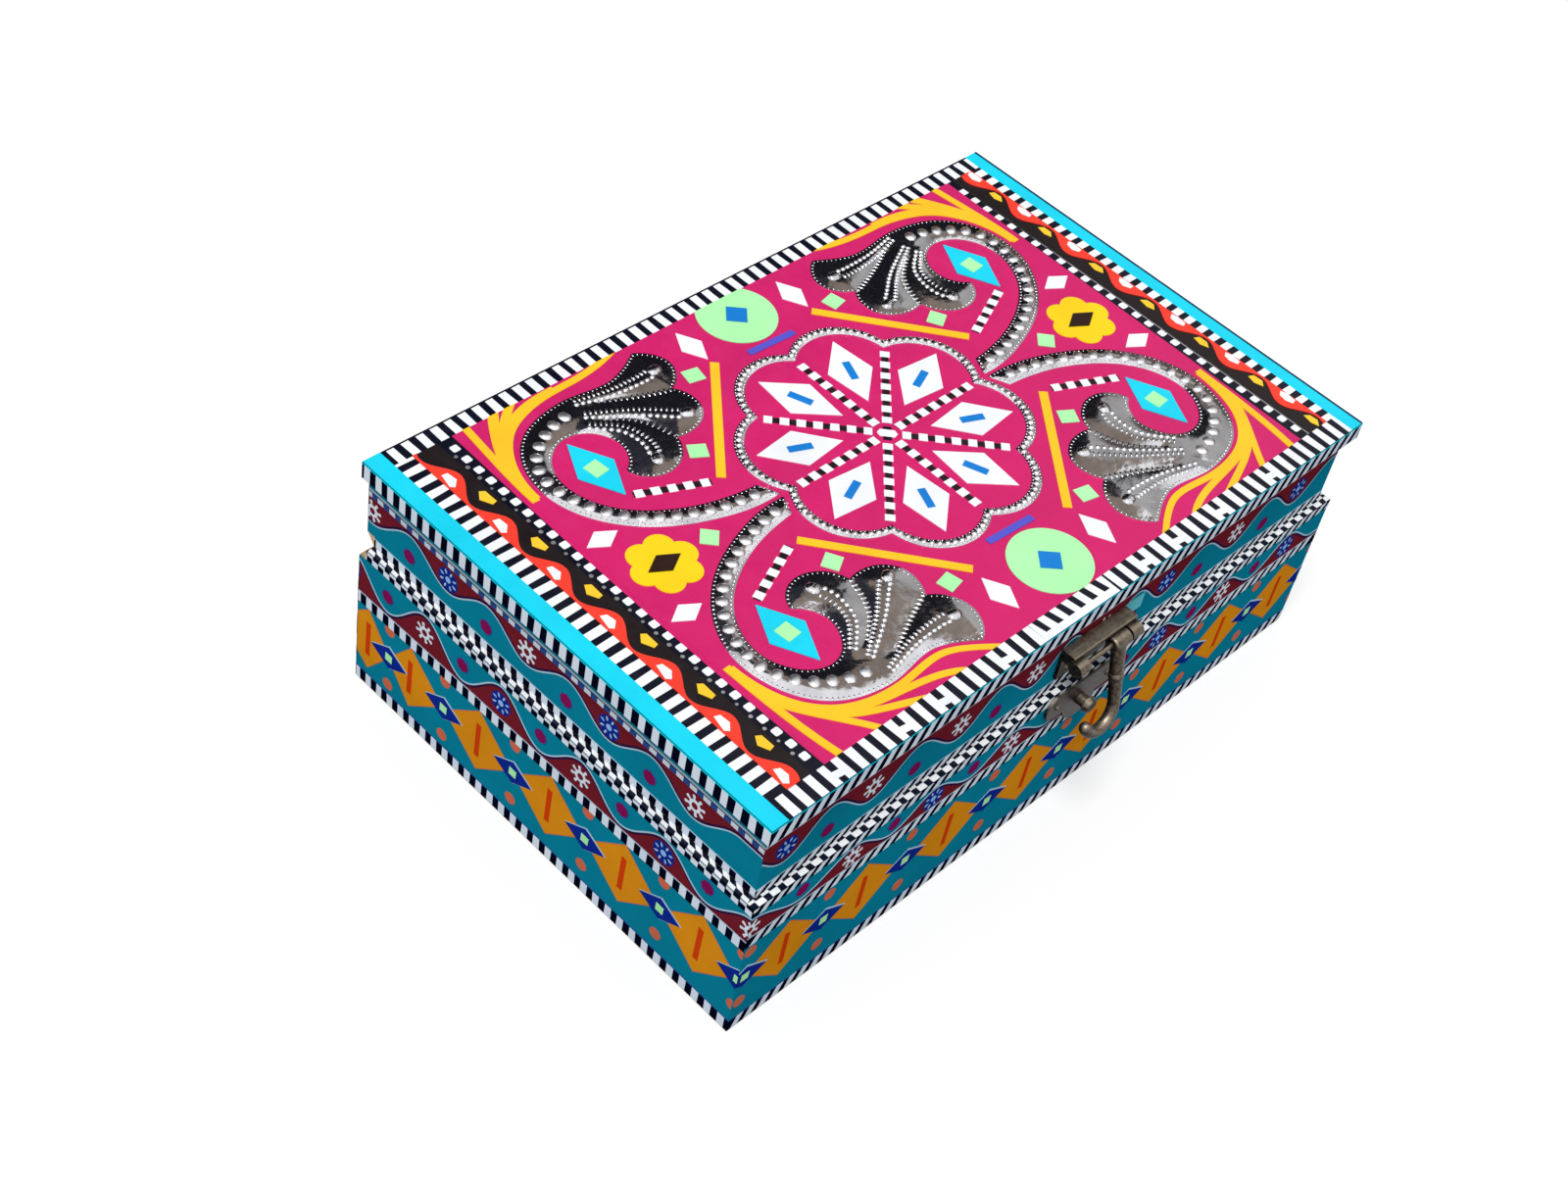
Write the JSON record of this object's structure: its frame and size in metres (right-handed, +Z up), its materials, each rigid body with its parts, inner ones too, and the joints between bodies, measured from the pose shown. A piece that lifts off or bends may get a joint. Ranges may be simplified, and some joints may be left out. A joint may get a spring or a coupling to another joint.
{
  "type": "decorative storage box",
  "caption": "Hinged wooden storage box covered with bands of cut coloured film, with embossed foil scrolls and a rosette on its lid and a hook hasp on its front.",
  "frame": {"origin": "centre of the underside, on the surface the box stands on", "axes": "+X along the box's length to the right of someone facing the hasp, -Y out of the front with the hasp, +Z up"},
  "size_m": [0.254, 0.1736, 0.0897],
  "materials": {
    "wood": "planed pale softwood",
    "hinge_brass": "satin",
    "hasp_bronze": "antique, worn bright on the edges",
    "foil_chrome": "embossed mirror foil",
    "film_field": "glossy magenta film",
    "film_cyan": "glossy cyan film",
    "film_side": "glossy patterned film",
    "film_black": "glossy black film",
    "film_red": "glossy red film",
    "film_bars": "glossy barred tape",
    "film_check": "glossy chequered tape",
    "film_white": "glossy white film",
    "film_green": "glossy light green film",
    "film_blue": "glossy blue film",
    "film_violet": "glossy violet film",
    "film_yellow": "glossy yellow film",
    "film_orange": "glossy orange film",
    "film_brown": "glossy brown film"
  },
  "bodies": {
    "base": {"base_front_wall": "wood", "base_back_wall": "wood", "base_left_wall": "wood", "base_right_wall": "wood", "base_floor": "wood", "base_front_film": "film_side", "base_back_film": "film_side", "base_left_film": "film_side", "base_right_film": "film_side", "base_rim_tapes": "film_check", "hinge_left_base_leaf": "hinge_brass", "hinge_right_base_leaf": "hinge_brass", "hinge_left_pin": "hinge_brass", "hinge_right_pin": "hinge_brass", "hinge_base_screws": "hinge_brass", "hasp_catch_plate": "hasp_bronze", "hasp_catch_stud": "hasp_bronze", "hasp_catch_nails": "hasp_bronze"},
    "lid": {"lid_top_panel": "wood", "lid_front_wall": "wood", "lid_back_wall": "wood", "lid_left_wall": "wood", "lid_right_wall": "wood", "lid_front_film": "film_side", "lid_back_film": "film_side", "lid_left_film": "film_side", "lid_right_film": "film_side", "top_edge_tapes": "film_bars", "top_bar_tapes": "film_bars", "hinge_left_lid_leaf": "hinge_brass", "hinge_right_lid_leaf": "hinge_brass", "hinge_lid_screws": "hinge_brass", "hasp_lid_plate": "hasp_bronze", "hasp_pin": "hasp_bronze", "hasp_plate_nails": "hasp_bronze", "top_field_film": "film_field", "top_cyan_tapes": "film_cyan", "cyan_rhombi": "film_cyan", "top_black_ribbons": "film_black", "top_red_ribbons": "film_red", "top_check_tapes": "film_check", "rosette_spokes": "film_check", "check_dashes": "film_check", "scroll_back_left": "foil_chrome", "scroll_back_right": "foil_chrome", "scroll_front_left": "foil_chrome", "scroll_front_right": "foil_chrome", "rosette_border": "foil_chrome", "rosette_petals": "film_white", "white_rhombi": "film_white", "blue_slips": "film_blue", "green_discs": "film_green", "green_squares": "film_green", "yellow_flowers": "film_yellow", "flower_rhombi": "film_brown", "orange_bars": "film_orange", "corner_flourishes": "film_orange", "violet_bars": "film_violet"},
    "hasp": {"hasp_strap": "hasp_bronze"}
  },
  "joints": [
    {"name": "lid_hinge", "type": "hinge", "parent": "base", "child": "lid", "pos_m": [0, 0.07815, 0.0555], "axis": [-1, 0, 0], "range_deg": [0, 105]},
    {"name": "hasp_hinge", "type": "hinge", "parent": "lid", "child": "hasp", "pos_m": [0.0065, -0.0842, 0.069], "axis": [-1, 0, 0], "range_deg": [-13, 125]}
  ]
}
